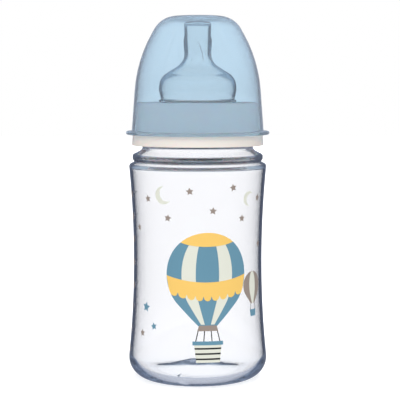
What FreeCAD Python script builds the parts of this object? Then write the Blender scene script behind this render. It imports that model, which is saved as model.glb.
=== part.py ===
import FreeCAD, Part
import math
import os
import re
from collections import namedtuple

import Sketcher

# A wide-neck feeding bottle in four pieces: the clear bottle, the screw ring, the teat that the ring
# clamps on the bottle's rim, and the cap that stands on the ring over the teat.
# Millimetres, +Z up the axis of turning, origin at the centre of the foot, -Y is the front.

# Driving dimensions: name, value and what it measures.
SIZES = [
    ("neck_radius", 26.4, "outside of the bottle's neck, under its thread"),
    ("neck_wall", 1.7, "wall of the neck"),
    ("neck_height", 18.4, "neck from the root of the slope to the rim"),
    ("rim_round", 0.4, "rounding of the rim's edges"),
    ("body_wall", 1.4, "wall of the body"),
    ("waist_reach", 4.35, "how far the waist stands outside the neck"),
    ("waist_level", 58.0, "height of the waist, where the body is slimmest"),
    ("waist_sweep", 470.0, "radius of the body's hollow side"),
    ("shoulder_level", 103.0, "height of the shoulder's edge"),
    ("shoulder_round", 1.7, "rounding of the shoulder's edge"),
    ("heel_round", 10.0, "rounding of the heel between side and foot"),
    ("foot_width", 2.5, "width of the ring the bottle stands on"),
    ("floor_thickness", 2.8, "thickness of the bottle's floor"),
    ("dish_depth", 4.8, "rise of the floor's dish above the foot"),
    ("dish_flat", 6.0, "radius of the flat middle of the dish"),
    ("dish_round", 10.0, "rounding of the dish's edges"),
    ("groove_depth", 1.25, "depth of the groove between shoulder and bead"),
    ("groove_rise", 1.1, "groove above the shoulder's edge"),
    ("groove_round", 0.6, "rounding of the groove"),
    ("bead_reach", 4.75, "how far the bead stands outside the neck"),
    ("bead_rise", 1.1, "bead's lower edge above the groove"),
    ("bead_height", 2.25, "height of the bead's face"),
    ("bead_round", 1.2, "rounding of the bead's edges"),
    ("slope_rise", 2.45, "rise of the slope from the bead to the neck"),
    ("slope_round", 2.2, "rounding between slope and neck"),
    ("notch_azimuth", -108.5, "direction of the notch that indexes the bottle for printing"),
    ("notch_depth", 0.9, "depth of the index notch in the foot"),
    ("notch_wide", 7.0, "width of the index notch at the dish"),
    ("notch_narrow", 2.0, "width of the index notch at the heel"),
    ("thread_lead", 6.0, "rise of the thread in one turn"),
    ("thread_turns", 1.25, "turns of thread on the neck and in the ring"),
    ("thread_depth", 1.1, "height of a thread's ridge"),
    ("thread_root", 2.5, "width of a thread's ridge at its root"),
    ("thread_crest", 1.0, "width of a thread's ridge at its crest"),
    ("thread_drop", 1.8, "top end of the neck's thread below the rim"),
    ("thread_clearance", 0.3, "radial clearance between ring and neck"),
    ("thread_play", 0.25, "axial clearance between the two threads"),
    ("thread_sink", 0.3, "depth to which a ridge is sunk into its wall"),
    ("ring_wall", 1.3, "wall of the screw ring"),
    ("ring_plate", 1.9, "thickness of the ring's top plate"),
    ("collar_height", 15.15, "collar of the ring, from its ledge to its top"),
    ("collar_round", 0.6, "rounding of the collar's top edge"),
    ("skirt_reach", 2.0, "how far the ring's skirt stands outside its collar"),
    ("skirt_height", 5.1, "height of the ring's skirt"),
    ("skirt_draft", 0.37, "outward draft of the skirt"),
    ("skirt_round", 0.4, "rounding of the skirt's edges"),
    ("teat_root", 17.45, "radius of the teat inside the ring's plate"),
    ("teat_clearance", 0.3, "radial clearance between the teat and the plate"),
    ("teat_wall", 1.2, "wall of the teat"),
    ("flange_thickness", 2.0, "thickness of the teat's clamped flange"),
    ("flange_inset", 0.4, "flange's edge inside the neck's radius"),
    ("lip_reach", 0.95, "how far the teat's lip laps over the plate"),
    ("lip_height", 1.1, "height of the teat's lip"),
    ("lip_round", 0.4, "rounding of the teat's lip"),
    ("bulb_reach", 1.1, "how far the teat's bulb stands outside its root"),
    ("bulb_rise", 4.8, "widest part of the bulb above the lip"),
    ("bulb_round", 3.0, "rounding at the widest part of the bulb"),
    ("shoulder_reach", 0.6, "bulb's shoulder inside its widest part"),
    ("shoulder_rise", 5.95, "bulb's shoulder above its widest part"),
    ("bulb_shoulder_round", 7.4, "rounding of the bulb's shoulder"),
    ("flare_rise", 7.5, "foot of the nipple above the bulb's shoulder"),
    ("flare_round", 9.0, "rounding between bulb and nipple"),
    ("nipple_radius", 5.8, "radius of the nipple at its foot"),
    ("nipple_length", 19.4, "nipple from its foot to its tip"),
    ("tip_reach", 0.7, "how far the tip stands outside the nipple's foot"),
    ("tip_round", 1.3, "rounding of the tip's edge"),
    ("feed_hole", 0.4, "radius of the hole in the tip"),
    ("rib_count", 4, "slanting ribs round the nipple"),
    ("rib_radius", 0.9, "radius of a rib's section"),
    ("rib_stand", 0.6, "how far a rib stands out of the nipple's foot radius"),
    ("rib_height", 9.4, "height of a rib"),
    ("rib_lead", 112.0, "rise of a rib's slant in one full turn"),
    ("rib_azimuth", -117.0, "direction of the first rib's lower end"),
    ("vent_radius", 0.5, "radius of the air vent through the flange"),
    ("vent_inset", 4.5, "vent inside the flange's edge"),
    ("vent_channel", 0.5, "depth of the channel from the vent to the edge"),
    ("cap_wall", 1.05, "wall of the cap"),
    ("cap_gap", 1.3, "gap between the cap's mouth and the ring's collar"),
    ("cap_headroom", 1.15, "gap between the teat's tip and the cap"),
    ("brim_reach", 2.75, "how far the brim stands outside the cap's mouth"),
    ("brim_thickness", 1.6, "thickness of the cap's brim"),
    ("brim_round", 0.7, "rounding of the brim's edges"),
    ("knee_inset", 2.5, "cap's knee inside its mouth"),
    ("knee_drop", 20.9, "cap's knee below its top"),
    ("knee_round", 64.0, "rounding of the cap's knee"),
    ("crown_inset", 11.8, "edge of the crown inside the knee"),
    ("crown_round", 12.0, "rounding of the crown's edge"),
]

# Places and radii that follow from the driving dimensions.
DERIVED = {
    "waist_radius": "neck_radius + waist_reach",
    "sweep_centre": "waist_radius + waist_sweep",
    "inner_sweep": "waist_sweep + body_wall",
    "shoulder_radius": "sweep_centre - sqrt(waist_sweep ^ 2 - (shoulder_level - waist_level) ^ 2)",
    "heel_radius": "sweep_centre - sqrt(waist_sweep ^ 2 - waist_level ^ 2)",
    "foot_radius": "sweep_centre - sqrt((waist_sweep + heel_round) ^ 2 - (waist_level - heel_round) ^ 2)",
    "dish_radius": "foot_radius - foot_width",
    "inner_heel_radius": "sweep_centre - sqrt(inner_sweep ^ 2 - (waist_level - floor_thickness) ^ 2)",
    "inner_shoulder_level": "shoulder_level - body_wall",
    "inner_rise": "inner_shoulder_level - waist_level",
    "inner_shoulder_radius": "sweep_centre - sqrt(inner_sweep ^ 2 - inner_rise ^ 2)",
    "groove_level": "shoulder_level + groove_rise",
    "groove_radius": "bead_radius - groove_depth",
    "bead_radius": "neck_radius + bead_reach",
    "bead_level": "groove_level + bead_rise",
    "bead_top": "bead_level + bead_height",
    "neck_level": "bead_top + slope_rise",
    "neck_bore": "neck_radius - neck_wall",
    "rim_level": "neck_level + neck_height",
    "thread_rise": "thread_lead * thread_turns",
    "neck_thread_level": "rim_level - thread_drop - thread_rise",
    "thread_flank": "(thread_root - thread_crest) / 2",
    "thread_width": "(thread_root + thread_crest) / 2",
    "thread_relief": "thread_flank * thread_clearance / thread_depth",
    "ring_thread_level": "neck_thread_level - thread_width + thread_relief - thread_play",
    "plate_under": "rim_level + flange_thickness",
    "plate_top": "plate_under + ring_plate",
    "ledge_level": "plate_top - collar_height",
    "ring_foot": "ledge_level - skirt_height",
    "ring_bore": "neck_radius + thread_depth + thread_clearance",
    "collar_radius": "ring_bore + ring_wall",
    "skirt_radius": "collar_radius + skirt_reach",
    "skirt_bore": "skirt_radius - ring_wall",
    "plate_hole": "teat_root + teat_clearance",
    "flange_radius": "neck_radius - flange_inset",
    "lip_top": "plate_top + lip_height",
    "bulb_radius": "teat_root + bulb_reach",
    "bulb_level": "lip_top + bulb_rise",
    "bulb_shoulder": "bulb_radius - shoulder_reach",
    "bulb_inside": "bulb_shoulder - teat_wall",
    "bulb_shoulder_level": "bulb_level + shoulder_rise",
    "nipple_level": "bulb_shoulder_level + flare_rise",
    "tip_radius": "nipple_radius + tip_reach",
    "tip_level": "nipple_level + nipple_length",
    "rib_ring": "nipple_radius + rib_stand - rib_radius",
    "vent_ring": "flange_radius - vent_inset",
    "cap_top": "tip_level + cap_headroom + cap_wall",
    "cap_bore": "collar_radius + cap_gap",
    "cap_radius": "cap_bore + cap_wall",
    "brim_radius": "cap_radius + brim_reach",
    "brim_top": "ledge_level + brim_thickness",
    "knee_level": "cap_top - knee_drop",
    "knee_radius": "cap_radius - knee_inset",
    "crown_radius": "knee_radius - crown_inset",
}

# One corner of a turned outline: its radius and height, the rounding of the corner, and, where the side
# that follows it is hollow, the radius of that side's sweep, centred outside the piece.
Corner = namedtuple("Corner", "out up round sweep", defaults=("", ""))
UP = FreeCAD.Vector(0, 0, 1)
FULL_TURN = 360

doc = FreeCAD.newDocument("feeding_bottle")
sheet = doc.addObject("Spreadsheet::Sheet", "sizes")
for row, (name, size, meaning) in enumerate(SIZES, start=1):
    sheet.set(f"A{row}", name)
    sheet.set(f"B{row}", str(size))
    sheet.setAlias(f"B{row}", name)
    sheet.set(f"C{row}", meaning)
doc.recompute()
DRIVING = {name for name, size, meaning in SIZES}


def formula(text):
    """The text as an expression on the sheet's cells, with every derived name written out."""

    def word(match):
        name = match.group()
        if name in DERIVED:
            return "(" + formula(DERIVED[name]) + ")"
        return "sizes." + name if name in DRIVING else name

    return re.sub("[a-z_]+", word, text)


def value(text):
    return float(sheet.evalExpression(formula(text)))


def bind(thing, prop, text):
    thing.setExpression(prop, formula(text))


def datum(body, role):
    return next(feature for feature in body.Origin.OriginFeatures if feature.Role == role)


def new_body(label):
    body = doc.addObject("PartDesign::Body", label)
    body.Label = label
    body.Placement = FreeCAD.Placement()
    return body


def new_sketch(body, name, plane, azimuth="", off=""):
    """A sketch on one of the body's planes, turned to an azimuth or moved off the plane if one is given."""
    sketch = body.newObject("Sketcher::SketchObject", name)
    sketch.AttachmentSupport = [(datum(body, plane), "")]
    sketch.MapMode = "FlatFace"
    place = FreeCAD.Placement()
    if azimuth:
        pivot = UP if plane == "XY_Plane" else FreeCAD.Vector(0, 1, 0)
        place.Rotation = FreeCAD.Rotation(pivot, value(azimuth))
    if off:
        place.Base = UP * value(off)
    sketch.AttachmentOffset = place
    if azimuth:
        bind(sketch, "AttachmentOffset.Rotation.Angle", azimuth)
    if off:
        bind(sketch, "AttachmentOffset.Base.z", off)
    return sketch


class Rules:
    """The constraints of one sketch, with the sizes that drive them."""

    def __init__(self, sketch):
        self.sketch = sketch
        self.constraints = []
        self.bound = []

    def add(self, *terms, size=""):
        """Add a constraint, bound to the sheet where a size is given."""
        if size:
            self.bound.append((len(self.constraints), size))
            terms = terms + (value(size),)
        self.constraints.append(Sketcher.Constraint(*terms))

    def place(self, geo, end, out, up):
        """Hold a point at a distance and a height, or on an axis where one of them is nought.

        In a sketch, geometry -1 is the level axis and -2 the upright one.
        """
        for size, kind, axis in ((out, "DistanceX", -2), (up, "DistanceY", -1)):
            if size == "0":
                self.add("PointOnObject", geo, end, axis)
            else:
                self.add(kind, geo, end, size=size)

    def settle(self):
        """Give the sketch its constraints and bind their sizes."""
        self.sketch.addConstraint(self.constraints)
        for index, size in self.bound:
            bind(self.sketch, f"Constraints[{index}]", size)


def arc_between(centre, radius, first, last, turn):
    """The arc from first to last about a centre and its two ends in that order: turn is +1 to the left."""
    ends = (first, last) if turn > 0 else (last, first)
    start, stop = (math.atan2(p.y - centre.y, p.x - centre.x) for p in ends)
    if stop < start:
        stop += 2 * math.pi
    circle = Part.Circle(centre, UP, radius)
    return Part.ArcOfCircle(circle, start, stop), (1, 2) if turn > 0 else (2, 1)


def draw_outline(sketch, corners):
    """Draw a closed outline with rounded corners, every corner and radius bound to the sheet."""
    count = len(corners)
    points = [FreeCAD.Vector(value(c.out), value(c.up), 0) for c in corners]
    left = FreeCAD.Rotation(UP, FULL_TURN / 4)

    # Directions in which each side leaves its first corner and reaches its last one.
    sides = []
    for i, corner in enumerate(corners):
        a, b = points[i], points[(i + 1) % count]
        chord = b - a
        along = FreeCAD.Vector(chord).normalize()
        if not corner.sweep:
            sides.append((None, along, along, 0))
            continue
        radius = value(corner.sweep)
        turn = 1 if along.y < 0 else -1
        square = left.multVec(along) * turn
        centre = a + chord / 2 + square * math.sqrt(radius**2 - (chord.Length / 2) ** 2)
        leave = left.multVec((a - centre).normalize()) * turn
        reach = left.multVec((b - centre).normalize()) * turn
        sides.append((centre, leave, reach, turn))

    # Where the rounding at each corner starts and stops, near enough for the solver to settle.
    trims = []
    for i, corner in enumerate(corners):
        reach, leave = sides[i - 1][2], sides[i][1]
        if not corner.round:
            trims.append((points[i], points[i], None, 0))
            continue
        radius = value(corner.round)
        turn = 1 if reach.cross(leave).z > 0 else -1
        cut = radius * math.tan(reach.getAngle(leave) / 2)
        start = points[i] - reach * cut
        trims.append((start, points[i] + leave * cut, start + left.multVec(reach) * turn * radius, turn))

    geometry, side_ends = [], []
    for i, corner in enumerate(corners):
        first, last = trims[i][1], trims[(i + 1) % count][0]
        centre, leave, reach, turn = sides[i]
        if centre is None:
            geometry.append(Part.LineSegment(first, last))
            side_ends.append((1, 2))
        else:
            arc, ends = arc_between(centre, value(corner.sweep), first, last, turn)
            geometry.append(arc)
            side_ends.append(ends)

    rules = Rules(sketch)
    for i, corner in enumerate(corners):
        before, after = (i - 1) % count, i
        if corner.sweep:
            rules.add("Radius", after, size=corner.sweep)
        if not corner.round:
            rules.add("Coincident", before, side_ends[before][1], after, side_ends[after][0])
            rules.place(after, side_ends[after][0], corner.out, corner.up)
            continue
        start, stop, centre, turn = trims[i]
        arc, ends = arc_between(centre, value(corner.round), start, stop, turn)
        rounding = len(geometry)
        apex = rounding + 1
        geometry.extend((arc, Part.Point(points[i])))
        rules.place(apex, 1, corner.out, corner.up)
        rules.add("PointOnObject", apex, 1, before)
        rules.add("PointOnObject", apex, 1, after)
        rules.add("Tangent", before, side_ends[before][1], rounding, ends[0])
        rules.add("Tangent", rounding, ends[1], after, side_ends[after][0])
        rules.add("Radius", rounding, size=corner.round)
    for shape in geometry:
        sketch.addGeometry(shape, isinstance(shape, Part.Point))
    rules.settle()


def turned(body, name, corners):
    """A piece of revolution about the axis."""
    sketch = new_sketch(body, name + "_outline", "XZ_Plane")
    draw_outline(sketch, corners)
    solid = body.newObject("PartDesign::Revolution", name)
    solid.Profile = sketch
    solid.ReferenceAxis = (sketch, ["V_Axis"])
    solid.Angle = FULL_TURN
    doc.recompute()
    return solid


def ridge(body, name, sketch, lead, turns):
    """A ridge that winds up the axis, right-handed."""
    helix = body.newObject("PartDesign::AdditiveHelix", name)
    helix.HasBeenEdited = True
    helix.Profile = sketch
    helix.ReferenceAxis = (sketch, ["V_Axis"])
    helix.Mode = "pitch-turns-angle"
    bind(helix, "Pitch", lead)
    bind(helix, "Turns", turns)
    doc.recompute()
    return helix


def thread(body, name, level, root, crest):
    """A thread whose ridge is widest at its root radius, which lies inside the wall it stands on."""
    sketch = new_sketch(body, name + "_section", "XZ_Plane")
    corners = [
        Corner(root, f"{level} - thread_root / 2"),
        Corner(crest, f"{level} - thread_crest / 2"),
        Corner(crest, f"{level} + thread_crest / 2"),
        Corner(root, f"{level} + thread_root / 2"),
    ]
    draw_outline(sketch, corners)
    return ridge(body, name, sketch, "thread_lead", "thread_turns")


def circle_sketch(body, name, plane, out, up, radius, azimuth="", off=""):
    """A sketch of one circle at a distance and a height from the sketch's origin."""
    sketch = new_sketch(body, name, plane, azimuth, off)
    middle = FreeCAD.Vector(value(out), value(up), 0)
    sketch.addGeometry(Part.Circle(middle, UP, value(radius)), False)
    rules = Rules(sketch)
    rules.place(0, 3, out, up)
    rules.add("Radius", 0, size=radius)
    rules.settle()
    return sketch


def cut(body, name, sketch, length, up):
    """Cut a sketch into the body, upwards or downwards, and make sure that it removes material."""
    doc.recompute()
    before = body.Shape.Volume
    pocket = body.newObject("PartDesign::Pocket", name)
    pocket.Profile = sketch
    pocket.Reversed = up
    bind(pocket, "Length", length)
    doc.recompute()
    if body.Shape.Volume >= before:
        raise RuntimeError(name + " cuts nothing")
    return pocket


def make_bottle_body():
    """The blow-moulded clear bottle: dished foot, waisted side, grooved shoulder, bead and threaded neck."""
    body = new_body("bottle_body")
    outside = [
        Corner("0", "dish_depth"),
        Corner("dish_flat", "dish_depth", "dish_round"),
        Corner("dish_radius", "0"),
        Corner("heel_radius", "0", "heel_round", "waist_sweep"),
        Corner("shoulder_radius", "shoulder_level", "shoulder_round"),
        Corner("groove_radius", "groove_level", "groove_round"),
        Corner("bead_radius", "bead_level", "bead_round"),
        Corner("bead_radius", "bead_top", "bead_round"),
        Corner("neck_radius", "neck_level", "slope_round"),
        Corner("neck_radius", "rim_level", "rim_round"),
    ]
    inside = [
        Corner("neck_bore", "rim_level", "rim_round"),
        Corner("neck_bore", "neck_level - body_wall", "slope_round"),
        Corner("groove_radius - body_wall", "groove_level", "slope_round"),
        Corner("inner_shoulder_radius", "inner_shoulder_level", "shoulder_round", "inner_sweep"),
        Corner("inner_heel_radius", "floor_thickness", "heel_round - body_wall"),
        Corner("dish_radius", "floor_thickness", "dish_round"),
        Corner("dish_flat", "floor_thickness + dish_depth", "dish_round"),
        Corner("0", "floor_thickness + dish_depth"),
    ]
    turned(body, "bottle_wall", outside + inside)
    root, crest = "neck_radius - thread_sink", "neck_radius + thread_depth"
    thread(body, "neck_thread", "neck_thread_level", root, crest)

    # The index notch is a wedge in the foot, widest at the dish.
    sketch = new_sketch(body, "index_notch_plan", "XY_Plane", "notch_azimuth")
    plan = [
        Corner("dish_radius - foot_width", "-notch_wide / 2"),
        Corner("foot_radius + foot_width", "-notch_narrow / 2"),
        Corner("foot_radius + foot_width", "notch_narrow / 2"),
        Corner("dish_radius - foot_width", "notch_wide / 2"),
    ]
    draw_outline(sketch, plan)
    cut(body, "index_notch", sketch, "notch_depth", True)
    return body


def make_screw_ring():
    """The moulded ring: a plate that clamps the teat, a threaded collar and a wider skirt under a ledge."""
    body = new_body("screw_ring")
    corners = [
        Corner("plate_hole", "plate_under"),
        Corner("ring_bore", "plate_under"),
        Corner("ring_bore", "ledge_level - ring_wall"),
        Corner("skirt_bore", "ledge_level - ring_wall"),
        Corner("skirt_bore", "ring_foot"),
        Corner("skirt_radius + skirt_draft", "ring_foot", "skirt_round"),
        Corner("skirt_radius", "ledge_level", "skirt_round"),
        Corner("collar_radius", "ledge_level"),
        Corner("collar_radius", "plate_top", "collar_round"),
        Corner("plate_hole", "plate_top", "skirt_round"),
    ]
    turned(body, "ring_wall_turned", corners)
    root, crest = "ring_bore + thread_sink", "neck_radius + thread_clearance"
    thread(body, "ring_thread", "ring_thread_level", root, crest)
    return body


def make_teat():
    """The silicone teat: clamped flange, lip over the ring's plate, bulb, ribbed nipple and air vent."""
    body = new_body("teat")
    corners = [
        Corner("teat_root - teat_wall", "rim_level"),
        Corner("flange_radius", "rim_level"),
        Corner("flange_radius", "plate_under"),
        Corner("teat_root", "plate_under"),
        Corner("teat_root", "plate_top"),
        Corner("teat_root + lip_reach", "plate_top"),
        Corner("teat_root + lip_reach", "lip_top", "lip_round"),
        Corner("teat_root", "lip_top + lip_round"),
        Corner("bulb_radius", "bulb_level", "bulb_round"),
        Corner("bulb_shoulder", "bulb_shoulder_level", "bulb_shoulder_round"),
        Corner("nipple_radius", "nipple_level", "flare_round"),
        Corner("tip_radius", "tip_level", "tip_round"),
        Corner("feed_hole", "tip_level"),
        Corner("feed_hole", "tip_level - teat_wall"),
        Corner("tip_radius - teat_wall", "tip_level - teat_wall", "tip_round"),
        Corner("nipple_radius - teat_wall", "nipple_level - teat_wall / 2", "flare_round"),
        Corner("bulb_inside", "bulb_shoulder_level - teat_wall", "bulb_shoulder_round - teat_wall"),
        Corner("bulb_radius - teat_wall", "bulb_level", "bulb_round"),
        Corner("teat_root - teat_wall", "lip_top"),
    ]
    turned(body, "teat_wall_turned", corners)

    # Ribs slant round the foot of the nipple and sink into it where it widens at both ends.
    section = circle_sketch(
        body, "rib_section", "XZ_Plane", "rib_ring", "nipple_level + rib_radius", "rib_radius", "rib_azimuth"
    )
    rib = ridge(body, "nipple_rib", section, "rib_lead", "rib_height / rib_lead")
    ribs = body.newObject("PartDesign::PolarPattern", "nipple_ribs")
    ribs.Originals = [rib]
    ribs.Axis = (datum(body, "Z_Axis"), [""])
    ribs.Angle = FULL_TURN
    bind(ribs, "Occurrences", "rib_count")
    body.Tip = ribs
    doc.recompute()

    # Air comes in past the ring's thread, along a channel in the flange's top, and down through the vent.
    vent = circle_sketch(
        body, "vent_plan", "XY_Plane", "vent_ring", "0", "vent_radius", off="plate_under"
    )
    cut(body, "vent", vent, "flange_thickness", False)
    channel = circle_sketch(
        body, "vent_channel_section", "YZ_Plane", "0", "plate_under", "vent_channel", off="vent_ring"
    )
    cut(body, "vent_channel_cut", channel, "vent_inset + vent_radius", True)
    return body


def make_cap():
    """The moulded cap: a thin domed shell with a round brim that stands on the ring's ledge."""
    body = new_body("cap")
    corners = [
        Corner("cap_bore", "ledge_level"),
        Corner("brim_radius", "ledge_level", "brim_round"),
        Corner("brim_radius", "brim_top", "brim_round"),
        Corner("cap_radius", "brim_top", "brim_round"),
        Corner("knee_radius", "knee_level", "knee_round"),
        Corner("crown_radius", "cap_top", "crown_round"),
        Corner("0", "cap_top"),
        Corner("0", "cap_top - cap_wall"),
        Corner("crown_radius - cap_wall / 2", "cap_top - cap_wall", "crown_round - cap_wall"),
        Corner("knee_radius - cap_wall", "knee_level", "knee_round - cap_wall"),
    ]
    turned(body, "cap_shell", corners)
    return body


pieces = [make_bottle_body(), make_screw_ring(), make_teat(), make_cap()]
doc.recompute()

# Nothing is written unless every object has worked and every piece is one valid solid.
for thing in doc.Objects:
    if {"Invalid", "Error"} & set(thing.State):
        raise RuntimeError(f"{thing.Label} failed: {thing.State}")
for piece in pieces:
    if piece.Shape.isNull() or not piece.Shape.isValid() or len(piece.Shape.Solids) != 1:
        raise RuntimeError(piece.Label + " is not one valid solid")
os.makedirs("parts", exist_ok=True)
for piece in pieces:
    piece.Shape.exportStep(os.path.join("parts", piece.Label + ".step"))
    print(f"{piece.Label}: {piece.Shape.Volume:.0f} cubic millimetres")
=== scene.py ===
import math
from collections import namedtuple

import bpy
from mathutils import Matrix, Vector
from mathutils.geometry import delaunay_2d_cdt


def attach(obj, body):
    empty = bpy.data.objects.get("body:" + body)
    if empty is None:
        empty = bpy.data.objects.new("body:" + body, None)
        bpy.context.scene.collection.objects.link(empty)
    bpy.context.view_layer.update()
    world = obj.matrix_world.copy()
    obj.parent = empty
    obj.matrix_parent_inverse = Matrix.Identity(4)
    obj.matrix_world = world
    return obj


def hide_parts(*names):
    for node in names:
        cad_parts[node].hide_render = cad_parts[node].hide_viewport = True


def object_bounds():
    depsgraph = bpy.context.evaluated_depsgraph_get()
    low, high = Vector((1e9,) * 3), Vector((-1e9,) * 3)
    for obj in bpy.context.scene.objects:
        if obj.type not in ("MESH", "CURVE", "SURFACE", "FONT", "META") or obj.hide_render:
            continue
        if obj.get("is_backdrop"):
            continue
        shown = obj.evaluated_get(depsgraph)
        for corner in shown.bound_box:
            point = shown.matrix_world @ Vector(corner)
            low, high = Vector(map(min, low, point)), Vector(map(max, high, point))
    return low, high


# A wide-neck feeding bottle with its teat, screw ring and cap.
# Metres, +Z up the bottle's axis, origin at the centre of the foot, -Y is the printed front.
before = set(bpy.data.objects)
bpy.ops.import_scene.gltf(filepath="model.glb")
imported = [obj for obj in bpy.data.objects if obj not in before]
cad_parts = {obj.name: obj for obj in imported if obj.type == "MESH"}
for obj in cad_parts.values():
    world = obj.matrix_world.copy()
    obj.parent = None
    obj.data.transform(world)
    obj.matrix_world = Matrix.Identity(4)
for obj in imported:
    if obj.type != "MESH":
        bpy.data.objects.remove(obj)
cad_low, cad_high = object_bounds()


# Clear bottle
# Blow-moulded in one piece from a clear copolyester: a dished foot, a waisted side, a grooved shoulder,
# a bead and a neck with a right-hand thread. It stands on the ring of its foot and carries the rest.
MM = 0.001
neck_radius = 26.4 * MM
neck_wall = 1.7 * MM
neck_height = 18.4 * MM
rim_round = 0.4 * MM
body_wall = 1.4 * MM
waist_reach = 4.35 * MM
waist_level = 58.0 * MM
waist_sweep = 470.0 * MM
shoulder_level = 103.0 * MM
shoulder_round = 1.7 * MM
heel_round = 10.0 * MM
foot_width = 2.5 * MM
floor_thickness = 2.8 * MM
dish_depth = 4.8 * MM
dish_flat = 6.0 * MM
dish_round = 10.0 * MM
groove_rise = 1.1 * MM
groove_depth = 1.25 * MM
groove_round = 0.6 * MM
bead_reach = 4.75 * MM
bead_rise = 1.1 * MM
bead_height = 2.25 * MM
bead_round = 1.2 * MM
slope_rise = 2.45 * MM
slope_round = 2.2 * MM
waist_radius = neck_radius + waist_reach
groove_level = shoulder_level + groove_rise
bead_radius = neck_radius + bead_reach
bead_level = groove_level + bead_rise
bead_top = bead_level + bead_height
groove_radius = bead_radius - groove_depth
neck_level = bead_top + slope_rise
rim_level = neck_level + neck_height
neck_bore = neck_radius - neck_wall
sweep_centre = Vector((waist_radius + waist_sweep, waist_level))


def side_radius(level, wall=0.0):
    """Radius of the body's hollow side at a level, less a wall."""
    return sweep_centre.x - math.sqrt((waist_sweep + wall) ** 2 - (level - waist_level) ** 2)


def heel_centre(rounding, wall, floor):
    """Radius at which the heel's rounding is centred, where it meets the floor and the hollow side."""
    rise = floor + rounding - waist_level
    return sweep_centre.x - math.sqrt((waist_sweep + wall + rounding) ** 2 - rise**2)


foot_radius = heel_centre(heel_round, 0.0, 0.0)
dish_radius = foot_radius - foot_width

# A corner of a turned outline: radius, height, rounding, the centre of the side that follows if that is
# an arc, and the greatest step along that side.
Corner = namedtuple("Corner", "out up round sweep step", defaults=(0.0, None, None))
ARC_STEP = math.radians(5)
SIDE_STEP = 2.0 * MM
RIDGE_STEP = 0.16 * MM
FITTING_STEPS = 8
WELD = 0.001 * MM
SHARP_ANGLE = math.radians(40)


def left_of(side, point):
    """How far a point lies to the left of a side, and the direction in which that grows."""
    start, stop, centre = side
    along = (stop - start).normalized()
    across = Vector((-along.y, along.x))
    if centre is None:
        return (point - start).dot(across), across
    hand = 1 if (centre - start).dot(across) > 0 else -1
    spoke = point - centre
    return hand * ((start - centre).length - spoke.length), spoke.normalized() * -hand


def arc_points(centre, first, last, turn, step):
    """Points on the arc from first to last about a centre, turning left for +1 and right for -1."""
    spoke = first - centre
    sweep = math.atan2(spoke.cross(last - centre), spoke.dot(last - centre)) * turn
    sweep = sweep % math.tau * turn
    count = max(2, math.ceil(abs(sweep) / step))
    return [centre + Matrix.Rotation(sweep * i / count, 2) @ spoke for i in range(count + 1)]


def rounded_outline(corners):
    """Points of an outline with rounded corners, from the first corner round to the last."""
    points = [Vector((c.out, c.up)) for c in corners]
    sides = []
    for i, corner in enumerate(corners):
        centre = Vector(corner.sweep) if corner.sweep else None
        sides.append((points[i], points[(i + 1) % len(points)], centre))
    bends = []
    for i, corner in enumerate(corners):
        before, after, middle = sides[i - 1], sides[i], points[i].copy()
        if not corner.round:
            bends.append([middle])
            continue
        turn = 1 if left_of(before, middle)[1].cross(left_of(after, middle)[1]) > 0 else -1
        for _ in range(FITTING_STEPS):
            reach_a, across_a = left_of(before, middle)
            reach_b, across_b = left_of(after, middle)
            short_a, short_b = turn * corner.round - reach_a, turn * corner.round - reach_b
            area = across_a.cross(across_b)
            middle.x += (short_a * across_b.y - short_b * across_a.y) / area
            middle.y += (short_b * across_a.x - short_a * across_b.x) / area
        first, last = middle - across_a * turn * corner.round, middle - across_b * turn * corner.round
        bends.append(arc_points(middle, first, last, turn, ARC_STEP))
    outline = []
    for i, corner in enumerate(corners):
        outline += bends[i]
        if i + 1 == len(corners):
            break
        first, last = bends[i][-1], bends[i + 1][0]
        step = corner.step or SIDE_STEP
        if corner.sweep:
            centre = Vector(corner.sweep)
            turn = 1 if (first - centre).cross(last - centre) > 0 else -1
            outline += arc_points(centre, first, last, turn, step / waist_sweep)[1:-1]
        else:
            count = math.ceil((last - first).length / step)
            outline += [first.lerp(last, n / count) for n in range(1, count)]
    return outline


def add_node(tree, kind, links=None, **settings):
    """Add a node, set its properties, and give each named input a value or a link from another node."""
    node = tree.nodes.new(kind)
    for name, setting in settings.items():
        setattr(node, name, setting)
    for name, given in (links or {}).items():
        if isinstance(given, bpy.types.Node):
            given = given.outputs[0]
        if isinstance(given, bpy.types.NodeSocket):
            tree.links.new(given, node.inputs[name])
        else:
            node.inputs[name].default_value = given
    return node


def new_tree(name, inputs):
    """A geometry tree with a geometry going in and out and the named sizes as its inputs."""
    tree = bpy.data.node_groups.new(name, "GeometryNodeTree")
    tree.interface.new_socket("Geometry", in_out="INPUT", socket_type="NodeSocketGeometry")
    for label, kind in inputs.items():
        tree.interface.new_socket(label, in_out="INPUT", socket_type="NodeSocket" + kind)
    tree.interface.new_socket("Geometry", in_out="OUTPUT", socket_type="NodeSocketGeometry")
    return tree, add_node(tree, "NodeGroupInput").outputs


def close_tree(tree, geometry, material):
    """End a geometry tree in real geometry with its material."""
    real = add_node(tree, "GeometryNodeRealizeInstances", {"Geometry": geometry})
    dressed = add_node(tree, "GeometryNodeSetMaterial", {"Geometry": real, "Material": material})
    add_node(tree, "NodeGroupOutput", {"Geometry": dressed})
    return tree


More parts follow.
